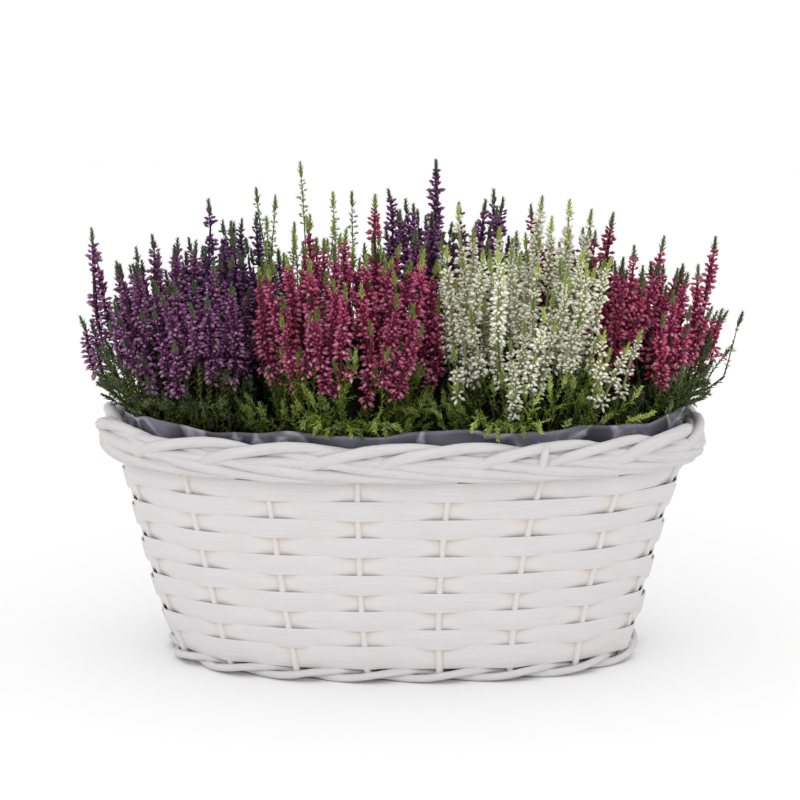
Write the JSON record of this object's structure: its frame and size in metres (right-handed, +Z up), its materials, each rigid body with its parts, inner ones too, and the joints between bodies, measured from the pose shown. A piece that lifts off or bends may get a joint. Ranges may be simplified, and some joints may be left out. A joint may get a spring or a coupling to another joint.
{
  "type": "potted heather",
  "caption": "Oval whitewashed wicker planter with a plastic liner and potting soil, planted with bushy heathers in purple, violet, magenta, white and crimson spikes.",
  "frame": {"origin": "middle of the foot, on the surface the planter stands on", "axes": "+X to the right along the long side, front towards -Y, +Z up"},
  "size_m": [0.4915, 0.2964, 0.36],
  "materials": {
    "whitened_willow": "matt whitewash over peeled willow",
    "whitened_chip": "matt whitewash over split wood strip",
    "plywood": "bare plywood",
    "liner_film": "thin dark grey film, slightly glossy",
    "potting_soil": "crumbly moist peat and bark",
    "heather_leaves": "matt scale leaves",
    "purple_flowers": "matt buds",
    "violet_flowers": "matt buds",
    "magenta_flowers": "matt buds",
    "white_flowers": "matt buds",
    "crimson_flowers": "matt buds"
  },
  "bodies": {
    "root": {"foot_rod_a": "whitened_willow", "foot_rod_b": "whitened_willow", "base_board": "plywood", "stake_01": "whitened_willow", "stake_02": "whitened_willow", "stake_03": "whitened_willow", "stake_04": "whitened_willow", "stake_05": "whitened_willow", "stake_06": "whitened_willow", "stake_07": "whitened_willow", "stake_08": "whitened_willow", "stake_09": "whitened_willow", "stake_10": "whitened_willow", "stake_11": "whitened_willow", "stake_12": "whitened_willow", "stake_13": "whitened_willow", "stake_14": "whitened_willow", "stake_15": "whitened_willow", "stake_16": "whitened_willow", "stake_17": "whitened_willow", "stake_18": "whitened_willow", "strip_01": "whitened_chip", "strip_02": "whitened_chip", "strip_03": "whitened_chip", "strip_04": "whitened_chip", "strip_05": "whitened_chip", "strip_06": "whitened_chip", "strip_07": "whitened_chip", "strip_08": "whitened_chip", "strip_09": "whitened_chip", "strip_10": "whitened_chip", "rim_border": "whitened_willow", "liner": "liner_film", "soil": "potting_soil", "heather_purple_left_greens": "heather_leaves", "heather_purple_left_flowers": "purple_flowers", "heather_violet_back_left_greens": "heather_leaves", "heather_violet_back_left_flowers": "violet_flowers", "heather_white_back_greens": "heather_leaves", "heather_white_back_flowers": "white_flowers", "heather_magenta_front_greens": "heather_leaves", "heather_magenta_front_flowers": "magenta_flowers", "heather_violet_back_greens": "heather_leaves", "heather_violet_back_flowers": "violet_flowers", "heather_white_front_greens": "heather_leaves", "heather_white_front_flowers": "white_flowers", "heather_crimson_back_greens": "heather_leaves", "heather_crimson_back_flowers": "crimson_flowers", "heather_crimson_right_greens": "heather_leaves", "heather_crimson_right_flowers": "crimson_flowers"}
  },
  "joints": []
}
